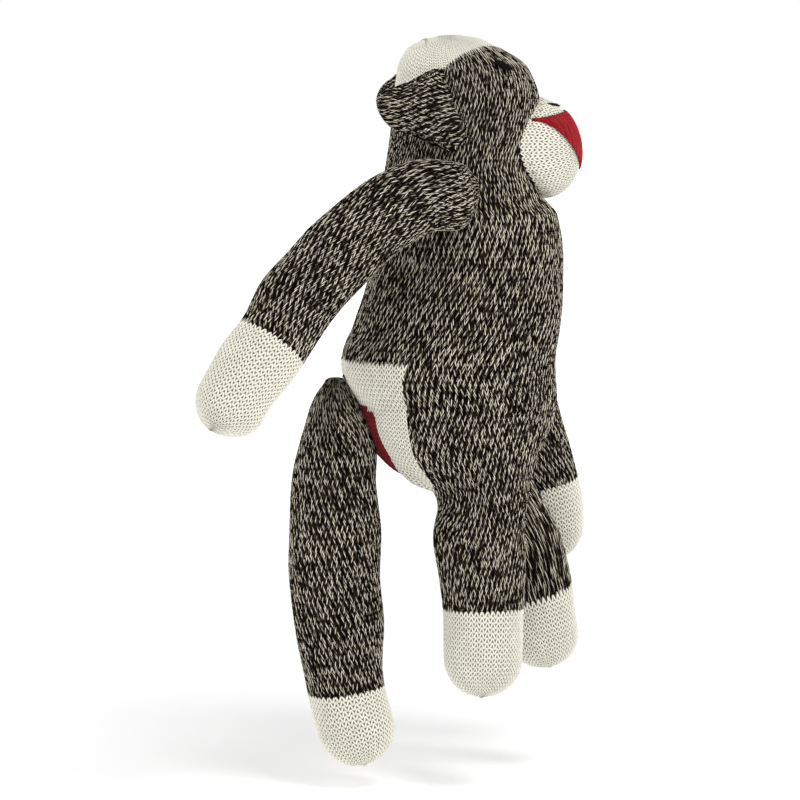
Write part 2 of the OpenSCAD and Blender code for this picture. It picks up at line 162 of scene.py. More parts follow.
def make_mesh(name, points, uv, faces_keep, wrap, flip):
    """Quad mesh of a grid of points; faces_keep says which quads stay.

    uv is each column's wale, each row's course, and the wales from one column to the next.
    """
    rows, cols = points.shape[:2]
    across = cols if wrap else cols - 1
    r, c = np.nonzero(faces_keep[: rows - 1, :across])
    right = (c + 1) % cols
    quads = corners(r * cols, (r + 1) * cols, c, right)
    u, v, step = uv
    corner_uv = corner_pairs(u[c], u[c] + step, v[r], v[r + 1])
    if flip:
        quads, corner_uv = quads[:, ::-1], corner_uv[:, ::-1]
    used, index = np.unique(quads, return_inverse=True)
    return mesh_object(name, points.reshape(-1, 3)[used], index.reshape(-1, 4), corner_uv)


def mesh_object(name, points, quads, corner_uv):
    """Object of quads, with the stitches' places in a UV map."""
    mesh = bpy.data.meshes.new(name)
    mesh.vertices.add(len(points))
    mesh.vertices.foreach_set("co", (points * MM).astype(np.float32).ravel())
    mesh.loops.add(quads.size)
    mesh.loops.foreach_set("vertex_index", quads.astype(np.int32).ravel())
    mesh.polygons.add(len(quads))
    mesh.polygons.foreach_set("loop_start", np.arange(0, quads.size, 4, dtype=np.int32))
    layer = mesh.uv_layers.new(name="knit")
    layer.data.foreach_set("uv", corner_uv.astype(np.float32).ravel())
    mesh.update(calc_edges=True)
    mesh.shade_smooth()
    made = bpy.data.objects.new(name, mesh)
    bpy.context.scene.collection.objects.link(made)
    return made


def knit_points(surface, u0, u1, v0, v1, wrap, relief=RELIEF, lump=LUMP, towards=None, slant=SLANT):
    """Grid of points with real stitches on surface(u, v), counted in wales and courses.

    The stitches stand on the side away from the middle, or towards -X or +X where that is given.
    """
    cols = (u1 - u0) * WALE_COLUMNS + (0 if wrap else 1)
    rows = (v1 - v0) * COURSE_ROWS + 1
    u = u0 + np.arange(cols) / WALE_COLUMNS
    a = np.abs(u % 1 - 0.5) * 2
    row = np.arange(rows)
    v = v0 + row / COURSE_ROWS
    grid_u = np.broadcast_to(u, (rows, cols))
    grid_v = v[:, None] + slant * a[None, :]
    p = surface(grid_u, grid_v)
    n, step = surface_normals(p, wrap)
    if towards is None:
        outward = np.sum(n * (p - p.mean(1, keepdims=True))) > 0
    else:
        outward = np.sum(n @ np.array([towards, 0, 0])) > 0
    if not outward:
        n = -n
    width = np.minimum(1, step * WALE_COLUMNS / FULL_WALE)
    height = stitch_relief(a[None, :], row[:, None]) - MID_HEIGHT
    p = p + n * (relief * width * height + lump * lumps(p) * width)[..., None]
    return p, (u, v, 1 / WALE_COLUMNS), not outward


def knit(name, surface, u0, u1, v0, v1, wrap=True, keep=None, **how):
    """Piece of knitted cloth; keep(u, v) says which stitch legs it has."""
    p, uv, flip = knit_points(surface, u0, u1, v0, v1, wrap, **how)
    rows, cols = p.shape[:2]
    faces = np.ones((rows, cols), bool)
    if keep is not None:
        leg = np.floor(uv[0] * 2) / 2 + 0.25
        course = np.floor(uv[1]) + 0.5
        faces = keep(np.broadcast_to(leg, (rows, cols)),
                     np.broadcast_to(course[:, None], (rows, cols)))
    return make_mesh(name, p, uv, faces, wrap, flip)


# ---- Surfaces, the same sections as the CAD's solids ---------------------------------------

# Body from the crotch up: height, middle in depth, half width, half depth
BODY = np.array([
    [-72, -4, 10, 10], [-66, -5.5, 28, 24], [-59, -5, 36, 34], [-48, -4.5, 41.5, 42],
    [-35, -3, 44, 46.5], [-22, 0, 45, 50], [-12, 0, 45, 50.5], [0, -3, 44, 49],
    [28, -8, 42, 45], [42, -9, 41, 44], [55, -8.5, 40, 42], [61, -6, 39.3, 39],
    [70, -4.5, 37.2, 35.5], [78, -3.6, 33.5, 33.6], [93, -5.8, 31, 34], [109, -7.4, 30.5, 34],
    [118, -6.8, 29.5, 32], [125, -5.2, 27, 29], [132, -2, 20.5, 21.5], [136, -1, 13, 13.5],
    [138, 0, 4, 5], [138.3, 0, 0.3, 0.3]])
HEAD_TOP = BODY[-1, 0]
HALF = 58              # wales in half the body, and in each leg
SPLIT_Z = -35.0        # where the body's tube begins to divide into the legs
CROTCH = (-2.0, -74.0)  # depth and height of the crotch
CROTCH_COURSE = 27     # rows of stitches from SPLIT_Z to the crotch, down the outside
ANKLE_COURSE = 41      # and to the start of the cream foot
NECK_COURSE = 40       # rows of stitches from SPLIT_Z up to the neck
CROWN_COURSE = 70      # and to the cream crown
CROWN_EDGE = (127.9, -0.515, -0.0159)   # height of the crown's edge as a curve of depth


def body_row(z):
    i = np.clip(np.searchsorted(BODY[:, 0], z, side="right") - 1, 0, len(BODY) - 2)
    share = (z - BODY[i, 0]) / (BODY[i + 1, 0] - BODY[i, 0])
    return smooth_rows(BODY, i + np.clip(share, 0, 1))


def body_point(angle, z, lift=0.0):
    """Point of the body's surface; the angle is in degrees from the front, towards +X."""
    r = body_row(z)
    a = np.radians(angle)
    x = (r[..., 2] + lift) * np.sin(a)
    y = r[..., 1] - (r[..., 3] + lift) * np.cos(a)
    return np.stack([x, y, z + 0 * a], -1)


def body_out(angle, z, reach):
    """Direction out of the body's side, measured over this reach."""
    return unit(body_point(angle, z, reach) - body_point(angle, z))


def flank_x(y, z):
    """Half the body's width at depth y and height z."""
    r = body_row(z)
    return r[..., 2] * np.sqrt(np.maximum(0.02, 1 - ((y - r[..., 1]) / r[..., 3]) ** 2))


def crown_line(angle):
    """Height at which the body meets the sloping edge of the cream crown."""
    low, high = np.full(angle.shape, 90.0), np.full(angle.shape, 137.0)
    for _ in range(16):
        mid = (low + high) / 2
        y = body_point(angle, mid)[..., 1]
        below = mid < CROWN_EDGE[0] + CROWN_EDGE[1] * y + CROWN_EDGE[2] * y * y
        low, high = np.where(below, mid, low), np.where(below, high, mid)
    return (low + high) / 2


CAP_STEPS = 40         # samples from a round end's tip to its rim


class Limb:
    """A tube with round ends along a smooth path, sampled by length along its surface.

    Each row of the path is x, y, z, half width and half depth. The caps are the lengths of the
    round ends (a root cap of 0 leaves that end open), and end_share is where along the path the
    cloth turns cream.
    """

    def __init__(self, rows, root_cap, tip_cap, end_share):
        rows = np.array(rows, float)
        last = len(rows) - 1
        t = np.linspace(0, last, 60 * last)
        path = smooth_rows(rows, t)
        way = unit(np.gradient(path[:, :3], axis=0))
        f = np.radians(np.linspace(89.2, 0, CAP_STEPS))[:, None]
        samples, ways = [], []
        if root_cap:
            middle = path[0, :3] - root_cap * np.sin(f) * way[0]
            samples.append(np.hstack([middle, path[0, 3:] * np.cos(f)])[:-1])
            ways.append(np.repeat(way[:1], len(f) - 1, 0))
        samples.append(path)
        ways.append(way)
        f = f[::-1]
        middle = path[-1, :3] + tip_cap * np.sin(f) * way[-1]
        samples.append(np.hstack([middle, path[-1, 3:] * np.cos(f)])[1:])
        ways.append(np.repeat(way[-1:], len(f) - 1, 0))
        self.rows, self.ways = np.vstack(samples), np.vstack(ways)
        centre, size = self.rows[:, :3], self.rows[:, 3:].mean(1)
        steps = np.hypot(np.linalg.norm(np.diff(centre, axis=0), axis=1), np.diff(size))
        self.length = np.concatenate([[0], np.cumsum(steps)])
        start = CAP_STEPS - 1 if root_cap else 0
        self.pivot = self.rows[start, :3]
        self.change = np.interp(end_share * last, t, self.length[start: start + len(t)])
        self.end = self.length[-1]

    def point(self, length, turn, side=1.0):
        """Point at this length, turned this share of a full turn from the +X side (or -X)."""
        col = [np.interp(length, self.length, x) for x in np.hstack([self.rows, self.ways]).T]
        centre, size, w = np.stack(col[:3], -1), col[3:5], unit(np.stack(col[5:], -1))
        u, v = self.sideways(w)
        turn = 2 * PI * turn
        return (centre + (side * size[0] * np.cos(turn))[..., None] * u
                + (size[1] * np.sin(turn))[..., None] * v)

    @staticmethod
    def sideways(w):
        """Two directions across the tube at its direction w, the first nearest to +X."""
        u = unit(np.array([1.0, 0, 0]) - w[..., :1] * w)
        return u, np.cross(w, u)


ARM_CAP = 15.5

RIGHT_ARM = Limb([
    [-55, 11, 66, 15.5, 15.5], [-61, 30, 64.5, 17, 17], [-66, 54, 51, 17.5, 17.5],
    [-72, 83, 24, 17.5, 17.5], [-77, 100, 1, 17, 17], [-84, 119, -24, 16.5, 16.5]],
    ARM_CAP, 16, 0.8)
LEFT_ARM = Limb([
    [55, 2, 64, 15.5, 15.5], [60.5, -14, 36, 17, 17], [64, -36, -5, 17, 17],
    [66, -52, -45, 16.5, 16.5], [68, -63, -81, 16, 16], [69.5, -66.5, -101, 15.5, 15.5]],
    ARM_CAP, 16, 0.8)
RIGHT_LEG = Limb([
    [-23, -8, -64, 20.5, 27], [-23, -8.5, -84, 20, 23], [-24, -9.5, -107, 19.5, 20.5],
    [-26, -10.5, -130, 18.7, 18.7], [-27, -9.5, -153, 18, 18]], 0, 17, 0.75)
LEFT_LEG = Limb([
    [23, -17, -62, 20.5, 27], [23, -27, -82, 20, 23], [24, -39, -106, 19.5, 20.5],
    [25, -47, -130, 18.7, 18.7], [26, -51, -148, 18, 18]], 0, 17, 0.75)
TAIL = Limb([
    [0, 56, -24, 4, 4], [0, 56.8, -35, 10, 9.8], [0, 55.8, -48, 15.5, 14.8],
    [0, 55.2, -66, 19.5, 19], [0, 55.5, -90, 21, 21], [0, 54.5, -127, 21, 21],
    [0, 49.5, -169, 18.3, 18.3], [0, 45.5, -187, 18, 18]], 2.5, 18, 6 / 7)

EAR_ROOT = (31.5, 7.7, 104.0)
EAR_LENGTH, EAR_HALF, EAR_THICK = 40.0, 18.3, 3.6
EAR_SPLAY = {-1: 28.0, 1: 75.0}   # degrees from straight back
EAR_RISE, EAR_LEAN = 0.05, 0.26   # how the tip rises and the root leans back
EAR_GATHER = 0.8                  # the sewn root's length, as a share of the ear's height
EAR_SET, EAR_SINK = 3.0, 1.5      # how far the sewn root lies forwards and under the head's cloth
EAR_BEND = 2.2                    # how far the tip bends towards the head
EAR_WALES, EAR_COURSES = 17, 17
SIDES = (("right", -1), ("left", 1))


def ear_place(side):
    """An ear's root and the direction in which it points, without its rise."""
    splay = math.radians(EAR_SPLAY[side])
    return (side * EAR_ROOT[0], *EAR_ROOT[1:]), (side * math.sin(splay), math.cos(splay), 0)


def ear_surface(side, layer):
    """One layer of an ear: stitch columns run from the root to the rounded edge."""
    splay = math.radians(EAR_SPLAY[side])
    root, way = np.array(ear_place(side))
    way[2] = EAR_RISE
    up, back = np.array([0, 0, 1.0]), np.array([0, 1.0, 0])
    out = np.array([side * math.cos(splay), -math.sin(splay), 0])

    def surface(u, v):
        h = np.clip(2 * u / EAR_WALES - 1, -1, 1)
        t = np.clip(v / EAR_COURSES, 0, 1)
        reach = EAR_LENGTH * np.sqrt(np.maximum(0, 1 - h * h))
        narrow = 0.8 + 0.24 * np.sin(np.clip(t / 0.85, 0, 1) * PI)
        thick = np.sqrt(np.maximum(0, 1 - h ** 4)) * np.sqrt(np.maximum(0, 1 - t ** 5))
        dent = 1 - 0.45 * np.exp(-((h - 0.05) / 0.4) ** 2 - ((t - 0.35) / 0.3) ** 2)
        bend = EAR_BEND * t * t
        lean = h * EAR_HALF * EAR_LEAN
        z_root, y_root = EAR_ROOT[2] + h * EAR_HALF * EAR_GATHER, EAR_ROOT[1] - EAR_SET + lean
        sewn = np.stack([side * (flank_x(y_root, z_root) - EAR_SINK), y_root, z_root], -1)
        hold = 1 - ease(t / 0.3)
        start = root + up * (h * EAR_HALF * EAR_GATHER)[..., None] + back * lean[..., None]
        return (root + way * (t * reach)[..., None] + up * (h * EAR_HALF * narrow)[..., None]
                + back * (lean * (1 - t))[..., None] + (sewn - start) * hold[..., None]
                + out * (layer * EAR_THICK * thick * dent - bend)[..., None])

    return surface


FOLD_DEPTH, FOLD_Z, FOLD_WIDTH = 8.5, -77.0, 13.0   # the crease where a thigh meets the rump
INNER_TOP, OUTER_TOP = 10.0, 34.0   # lengths along a leg where its inner and outer cloth start
FRONT_REACH, BACK_REACH = -47.5, 45.5   # depth from the crotch to the body's middle line


def leg_surface(limb, mirror):
    """Half of the body's tube below SPLIT_Z, closing round one leg; s from front to back."""
    end, side, half_turn = limb.change, -1.0 if mirror else 1.0, 180 if mirror else -180

    def surface(s, v):
        down = -v
        tau = np.clip(down / CROTCH_COURSE, 0, 1)
        below = np.clip((down - CROTCH_COURSE) / (ANKLE_COURSE - CROTCH_COURSE), 0, 1)
        inner = mix(INNER_TOP, end, below ** 1.2)
        outer = mix(OUTER_TOP, end, below)
        q = mix(outer, inner, 0.5 + 0.5 * np.cos(2 * PI * s))
        leg = limb.point(q + np.maximum(0, down - ANKLE_COURSE) * COURSE, s, side)
        top = body_point(half_turn * s, np.full(s.shape, SPLIT_Z))
        share = ease(tau)[..., None]
        p = mix(top, leg, share)
        p[..., 2] = mix(top[..., 2], leg[..., 2], tau)
        for edge, fade, reach in ((0.0, np.clip(1 - s / 0.4, 0, 1) ** 2, FRONT_REACH),
                                  (1.0, np.clip((s - 0.6) / 0.4, 0, 1) ** 2, BACK_REACH)):
            arc = tau * PI / 2
            want = np.stack([0 * tau, CROTCH[0] + reach * np.cos(arc),
                             SPLIT_Z + (CROTCH[1] - SPLIT_Z) * np.sin(arc)], -1)
            e = np.full(s.shape, edge)
            top_e = body_point(half_turn * e, np.full(s.shape, SPLIT_Z))
            leg_e = limb.point(np.clip(inner, INNER_TOP, end), e, side)
            now = mix(top_e, leg_e, share)
            now[..., 2] = mix(top_e[..., 2], leg_e[..., 2], tau)
            hold = (1 - ease(below * 1.6))[..., None]
            p = p + (want - now) * fade[..., None] * hold
        behind = np.clip((p[..., 1] - limb.rows[0, 1]) / limb.rows[0, 4], 0, 1)
        aside = np.maximum(ease((np.abs(p[..., 0]) - 8) / 10), ease((-70 - p[..., 2]) / 5))
        crease = FOLD_DEPTH * np.exp(-((p[..., 2] - FOLD_Z) / FOLD_WIDTH) ** 2)
        p[..., 1] -= crease * behind * aside
        return p

    return surface


RIGHT_PANTS = leg_surface(RIGHT_LEG, False)
LEFT_PANTS = leg_surface(LEFT_LEG, True)


def body_surface(u, v):
    """The body's cloth above SPLIT_Z; u counts wales from the front, round by the right side."""
    angle = -180 * u / HALF
    neck_z = SPLIT_Z + NECK_COURSE * COURSE
    share = (v - NECK_COURSE) / (CROWN_COURSE - NECK_COURSE)
    z = np.where(v <= NECK_COURSE, SPLIT_Z + v * COURSE, mix(neck_z, crown_line(angle), share))
    return body_point(angle, z)


def side_surface(side):
    """One side's cloth, from its leg up; side is -1 for the right and 1 for the left."""
    pants = LEFT_PANTS if side > 0 else RIGHT_PANTS

    def surface(u, v):
        s = (2 * HALF - u) / HALF if side > 0 else u / HALF
        legs = pants(s, np.minimum(v, 0))
        return np.where((v < 0)[..., None], legs, body_surface(u, np.maximum(v, 0)))

    return surface


# ---- Materials -----------------------------------------------------------------------------

class Shader:
    """Short names for building a material's nodes."""

    def __init__(self, name):
        self.material = bpy.data.materials.new(name)
        self.material.use_nodes = True
        self.tree = self.material.node_tree
        self.tree.nodes.clear()
        self.bsdf = self.add("ShaderNodeBsdfPrincipled")
        out = self.add("ShaderNodeOutputMaterial")
        self.tree.links.new(self.bsdf.outputs[0], out.inputs[0])

    def add(self, kind, **settings):
        node = self.tree.nodes.new(kind)
        for k, x in settings.items():
            setattr(node, k, x)
        return node

    def put(self, socket, x):
        if isinstance(x, bpy.types.NodeSocket):
            self.tree.links.new(x, socket)
        else:
            socket.default_value = x

    def math(self, operation, a, b=0.0):
        node = self.add("ShaderNodeMath", operation=operation)
        self.put(node.inputs[0], a)
        self.put(node.inputs[1], b)
        return node.outputs[0]

    def plus(self, a, b):
        return self.math("ADD", a, b)

    def minus(self, a, b):
        return self.math("SUBTRACT", a, b)

    def times(self, a, b):
        return self.math("MULTIPLY", a, b)

    def step(self, x, low, high):
        node = self.add("ShaderNodeMapRange", interpolation_type="SMOOTHSTEP")
        self.put(node.inputs["Value"], x)
        node.inputs["From Min"].default_value = low
        node.inputs["From Max"].default_value = high
        return node.outputs["Result"]

    def vector(self, x, y, z=0.0):
        node = self.add("ShaderNodeCombineXYZ")
        for socket, value in zip(node.inputs, (x, y, z)):
            self.put(socket, value)
        return node.outputs[0]

    def white(self, vector):
        node = self.add("ShaderNodeTexWhiteNoise", noise_dimensions="3D")
        self.put(node.inputs["Vector"], vector)
        return node.outputs["Value"]

    def noise(self, vector, scale, detail):
        node = self.add("ShaderNodeTexNoise", noise_dimensions="3D")
        self.put(node.inputs["Vector"], vector)
        node.inputs["Scale"].default_value = scale
        node.inputs["Detail"].default_value = detail
        return node.outputs["Fac"]

    def mix(self, share, a, b):
        node = self.add("ShaderNodeMix", data_type="RGBA")
        self.put(node.inputs["Factor"], share)
        self.put(node.inputs["A"], a)
        self.put(node.inputs["B"], b)
        return node.outputs["Result"]

    def knit_uv(self):
        """The two numbers of the UV map."""
        uv = self.add("ShaderNodeUVMap", uv_map="knit")
        split = self.add("ShaderNodeSeparateXYZ")
        self.tree.links.new(uv.outputs[0], split.inputs[0])
        return split.outputs[0], split.outputs[1]

    def finish(self, colour, roughness, height, distance, strength, sheen, shine=0.1):
        self.put(self.bsdf.inputs["Base Color"], colour)
        self.put(self.bsdf.inputs["Roughness"], roughness)
        self.bsdf.inputs["Specular IOR Level"].default_value = shine
        self.bsdf.inputs["Sheen Weight"].default_value = sheen
        self.bsdf.inputs["Sheen Roughness"].default_value = 0.6
        bump = self.add("ShaderNodeBump")
        bump.inputs["Strength"].default_value = strength
        bump.inputs["Distance"].default_value = distance
        self.put(bump.inputs["Height"], height)
        self.put(self.bsdf.inputs["Normal"], bump.outputs["Normal"])
        return self.material

    def stitches(self, seed):
        """The knit's own places: which leg, where in it, and its rounded height."""
        u, v = self.knit_uv()
        leg = self.math("FLOOR", self.times(u, 2.0))
        course = self.math("FLOOR", v)
        side = self.minus(self.times(self.math("FLOORED_MODULO", leg, 2.0), 2.0), 1.0)
        a = self.times(self.math("ABSOLUTE", self.minus(self.math("FRACT", u), 0.5)), 2.0)
        b = self.math("FRACT", v)
        across = self.minus(a, b)
        along = self.minus(self.plus(a, b), 1.0)
        fall = self.plus(self.times(self.times(across, across), ACROSS),
                         self.times(self.times(along, along), ALONG))
        return {"leg": leg, "course": course, "side": side, "across": across, "along": along,
                "height": self.minus(1.0, fall), "cell": self.vector(leg, course, seed),
                "uv": self.vector(u, v, seed)}

    def fibres(self, k, across, along):
        """Fine lines along each strand."""
        place = self.vector(self.times(k["across"], across), self.times(k["along"], along), 0.0)
        spread = self.add("ShaderNodeVectorMath", operation="MULTIPLY_ADD")
        self.put(spread.inputs[0], k["cell"])
        spread.inputs[1].default_value = (3.7, 5.1, 1.0)
        self.put(spread.inputs[2], place)
        return self.noise(spread.outputs[0], 1.6, 3.0)


def srgb(r, g, b):
    def one(x):
        x = x / 255
        return x / 12.92 if x <= 0.04045 else ((x + 0.055) / 1.055) ** 2.4
    return (one(r), one(g), one(b), 1.0)


MARL_DARK = srgb(9, 7, 4)
MARL_BROWN = srgb(44, 35, 24)
MARL_LIGHT = srgb(243, 233, 214)
MARL_OLIVE = srgb(196, 189, 142)
KNIT_BUMP = 0.00035    # height of the yarn's fine surface, metres


def marl_material(name, seed, light=0.5):
    """Two-ply yarn, one ply near black and one cream, which twists through every stitch."""
    m = Shader(name)
    k = m.stitches(seed)
    drift = m.plus(m.times(k["leg"], 0.46), m.times(k["course"], 0.31))
    phase = m.plus(drift, m.times(m.white(k["cell"]), 0.5))
    fibre = m.fibres(k, 5.0, 1.1)
    patchy = m.noise(k["uv"], 0.35, 2.0)
    slope = m.times(m.times(k["across"], k["side"]), 0.42)
    turn = m.plus(m.plus(m.times(k["along"], 0.2), slope), phase)
    ply = m.math("SINE", m.times(turn, 2 * PI))
    ply = m.plus(ply, m.times(m.minus(fibre, 0.5), 1.9))
    ply = m.plus(ply, m.times(m.minus(patchy, 0.5), 0.9))
    share = m.step(ply, light - 0.25, light + 0.55)
    # Painted shade: in the valleys between the stitches the yarn is mixed nearly all the way to
    # MARL_DARK, where shade falls.
    valley_shade_mask = m.step(k["height"], 0.32, 0.9)
    tone = m.white(m.vector(phase, seed, 3.0))
    dark = m.mix(m.step(tone, 0.35, 0.95), MARL_DARK, MARL_BROWN)
    green = m.times(m.step(m.noise(k["uv"], 0.8, 1.0), 0.5, 0.72), 0.55)
    pale = m.mix(green, MARL_LIGHT, MARL_OLIVE)
    yarn = m.mix(share, dark, pale)
    colour = m.mix(valley_shade_mask, m.mix(0.94, yarn, MARL_DARK), yarn)
    height = m.plus(m.times(m.step(k["height"], -0.1, 1.0), 0.8), m.times(fibre, 0.35))
    return m.finish(colour, 0.95, height, KNIT_BUMP, 0.85, 0.0, 0.03)


def plain_material(name, seed, high, low, hole_shade, vary, valley_shade_amount, sheen, bump=0.8):
    """One-colour yarn with painted shade in the holes and valleys between the stitches, and small
    differences in tone.

    vary is how much the stitches' tone differs. The number after vary is how far the valleys round
    the stitches are darkened towards low, which is painted shade, and the colour after low is the
    painted shade in the holes.
    """
    m = Shader(name)
    k = m.stitches(seed)
    fibre = m.fibres(k, 5.0, 1.0)
    tone = m.plus(m.times(m.white(k["cell"]), 0.5), m.times(m.noise(k["uv"], 0.25, 2.0), 0.5))
    yarn = m.mix(m.times(m.step(tone, 0.25, 0.8), vary), high, low)
    yarn = m.mix(m.times(m.step(fibre, 0.4, 0.75), 0.16), yarn, low)
    # Painted shade: the valleys round the stitches are darkened towards low, where shade falls.
    valley_shade_mask = m.step(k["height"], 0.16, 0.74)
    colour = m.mix(valley_shade_mask, m.mix(valley_shade_amount, yarn, low), yarn)
    # Painted shade: the deepest places, the holes between the stitches, take the hole colour.
    colour = m.mix(m.step(k["height"], -0.2, 0.45), hole_shade, colour)
    height = m.plus(m.times(m.step(k["height"], -0.1, 1.0), 0.8), m.times(fibre, 0.25))
    return m.finish(colour, 0.9, height, KNIT_BUMP, bump, sheen)


def thread_material(name, high, low, rough=0.6, sheen=0.15):
    """Twisted thread: slanting plies from the thread's own length and turn."""
    m = Shader(name)
    u, v = m.knit_uv()
    wave = m.math("SINE", m.times(m.plus(u, m.times(v, 0.9)), 4 * PI))
    share = m.step(wave, -1.0, 0.7)
    fuzz = m.noise(m.vector(u, v), 9.0, 3.0)
    colour = m.mix(m.times(share, m.step(fuzz, 0.2, 0.7)), low, high)
    return m.finish(colour, rough, m.plus(wave, m.times(fuzz, 0.4)), 0.00015, 0.7, sheen)


# CREAM_LOW is the cream yarn's darker tone and also the painted shade in the valleys between the
# stitches; the colour below it is painted shade for the holes between the stitches.
CREAM_HIGH, CREAM_LOW = srgb(249, 246, 232), srgb(120, 114, 96)
CREAM_HOLE_SHADE = srgb(74, 68, 54)
marl_body = marl_material("marl_body", 1.0)
marl_limb = marl_material("marl_limb", 5.0, 0.52)
marl_ear = marl_material("marl_ear", 9.0, 0.52)
cream = plain_material("cream_yarn", 2.0, CREAM_HIGH, CREAM_LOW, CREAM_HOLE_SHADE, 0.14, 0.55, 0.15)
# The crown's finer cream uses its darker tone as the painted shade in its holes.
cream_fine = plain_material("cream_fine_yarn", 3.0, CREAM_HIGH, CREAM_LOW, CREAM_LOW,
                            0.16, 0.6, 0.2, 0.6)
# Red yarn for the lips; its third colour is painted shade for the holes between the stitches.
red = plain_material("red_yarn", 4.0, srgb(186, 12, 28), srgb(96, 2, 10), srgb(70, 0, 6),
                     0.45, 0.6, 0.1)
# The same red yarn made darker, as painted shade for the rump's red, which lies in the shade
# between the tail and the rump; its third colour is painted shade for the holes.
red_in_painted_shade = plain_material("red_yarn_in_painted_shade", 6.0, srgb(132, 8, 18), srgb(66, 1, 6), srgb(40, 0, 3),
                          0.45, 0.6, 0.1)
cream_thread = thread_material("cream_sewing_thread", srgb(236, 231, 214), srgb(150, 142, 120))
dark_thread = thread_material("dark_sewing_thread", srgb(46, 38, 30), srgb(14, 11, 8))
black_thread = thread_material("black_silk_thread", srgb(14, 14, 15), srgb(2, 2, 2), 0.5, 0.0)


# ---- Pieces --------------------------------------------------------------------------------

def dress(piece, material, nodes, body=None):
    """Gives a piece its material, slot, CAD nodes and, when one is given, its body."""
    piece.data.materials.append(material)
    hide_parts(*nodes)
    if body:
        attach(piece, body)
    return piece


THREAD_SIDES = 8


def thread(name, lines, radius, material, nodes, body):
    """Tubes along lines of points, all in one mesh."""
    points, quads, uvs, start = [], [], [], 0
    for line in lines:
        line = np.array(line, float)
        way = unit(np.gradient(line, axis=0))
        steep = abs(way[:, 2]).max() >= 0.9
        flat = np.array([0.93, 0.3, 0.1] if steep else [0.31, 0.17, 0.93])
        u = unit(np.cross(np.broadcast_to(flat, way.shape), way))
        v = np.cross(way, u)
        ends = np.ones(len(line))
        ends[0] = ends[-1] = 0.35
        turn = (np.arange(THREAD_SIDES) * 2 * PI / THREAD_SIDES)[None, :, None]
        ring = np.cos(turn) * u[:, None] + np.sin(turn) * v[:, None]
        ring = radius * ends[:, None, None] * ring
        points.append((line[:, None] + ring).reshape(-1, 3))
        far = np.concatenate([[0], np.cumsum(np.linalg.norm(np.diff(line, axis=0), axis=1))])
        r, c = (x.ravel() for x in np.mgrid[0:len(line) - 1, 0:THREAD_SIDES])
        row = start + r * THREAD_SIDES
        quads.append(corners(row, row + THREAD_SIDES, c, (c + 1) % THREAD_SIDES))
        uvs.append(corner_pairs(c / THREAD_SIDES, (c + 1) / THREAD_SIDES, far[r], far[r + 1]))
        start += len(line) * THREAD_SIDES
    piece = mesh_object(name, np.vstack(points), np.vstack(quads), np.concatenate(uvs))
    return dress(piece, material, nodes, body)


def stitch_arc(a, b, out, lift):
    """A short stitch from a to b that stands lift off the cloth in direction out."""
    a, b, out = np.array(a, float), np.array(b, float), np.array(out, float)
    return [mix(a, b, t) + out * lift * (math.sin(PI * t) - 0.35) for t in np.linspace(0, 1, 7)]


# The body's cloth, its rump patch and the legs' cloth are one tube of stitches

PATCH_TOP = 9          # courses of the patch above SPLIT_Z
PATCH_WIDE = 0.27      # half the patch's spread at SPLIT_Z, as a share of half the body
PATCH_WIDE_TOP = 0.31
RED_WIDE = 0.13
PATCH_LOW = 0.92       # how far the patch reaches towards the crotch
RED_LOW = 0.78         # and the red in it
RED_ROUND = 2.5        # courses over which the red's top is rounded


def patch_share(v):
    """Half the patch's spread at course v, as a share of half the body."""
    up = mix(PATCH_WIDE, PATCH_WIDE_TOP, np.clip(v / PATCH_TOP, 0, 1))
    tau = np.clip(-v / CROTCH_COURSE, 0, 1)
    down = PATCH_WIDE * np.sqrt(np.clip(1 - (tau / PATCH_LOW) ** 6, 0, 1))
    return np.where(v >= 0, np.where(v < PATCH_TOP, up, 0), down)


def from_back(u):
    """Distance of wale u from the middle of the back, as a share of half the body."""
    return np.abs(u - HALF) / HALF


def in_patch(u, v):
    return from_back(u) < patch_share(v)


def in_red(u, v):
    tau = -v / CROTCH_COURSE
    wide = RED_WIDE * np.sqrt(np.clip(1 - np.clip(tau / RED_LOW, 0, 1) ** 5, 0, 1))
    wide = wide * np.sqrt(np.clip(1 - np.clip(1 + v / RED_ROUND, 0, 1) ** 2, 0, 1))
    return (v < 0) & (tau < RED_LOW) & (from_back(u) < wide)


FOOT_WALES = 46        # wales round a cream foot
HAND_WALES = 37        # and round a cream hand or the tail's tip
CREAM_RELIEF = 0.7     # height of their stitches


def foot_surface(side, start):
    """A foot's cloth, in fewer and wider wales than the leg's."""
    surface = side_surface(side)
    return lambda u, v: surface(start + u * HALF / FOOT_WALES, v)


def hip_blend(piece):
    """Bakes the place of a piece between the torso and a leg into its mesh."""
    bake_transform(piece)


upper = knit("upper_cloth", body_surface, 0, 2 * HALF, NECK_COURSE, CROWN_COURSE)
dress(upper, marl_body, ["head_skin", "head_fill", "torso_fill"])
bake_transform(upper)

lower = knit("lower_cloth", body_surface, 0, 2 * HALF, 0, NECK_COURSE,
             keep=lambda u, v: ~in_patch(u, v))
dress(lower, marl_body, ["torso_skin"], "torso")

patch_upper = knit("rump_patch_top", body_surface, 0, 2 * HALF, 0, PATCH_TOP + 1, keep=in_patch,
                   slant=OPEN_SLANT)
dress(patch_upper, cream, ["rump_cream"], "torso")

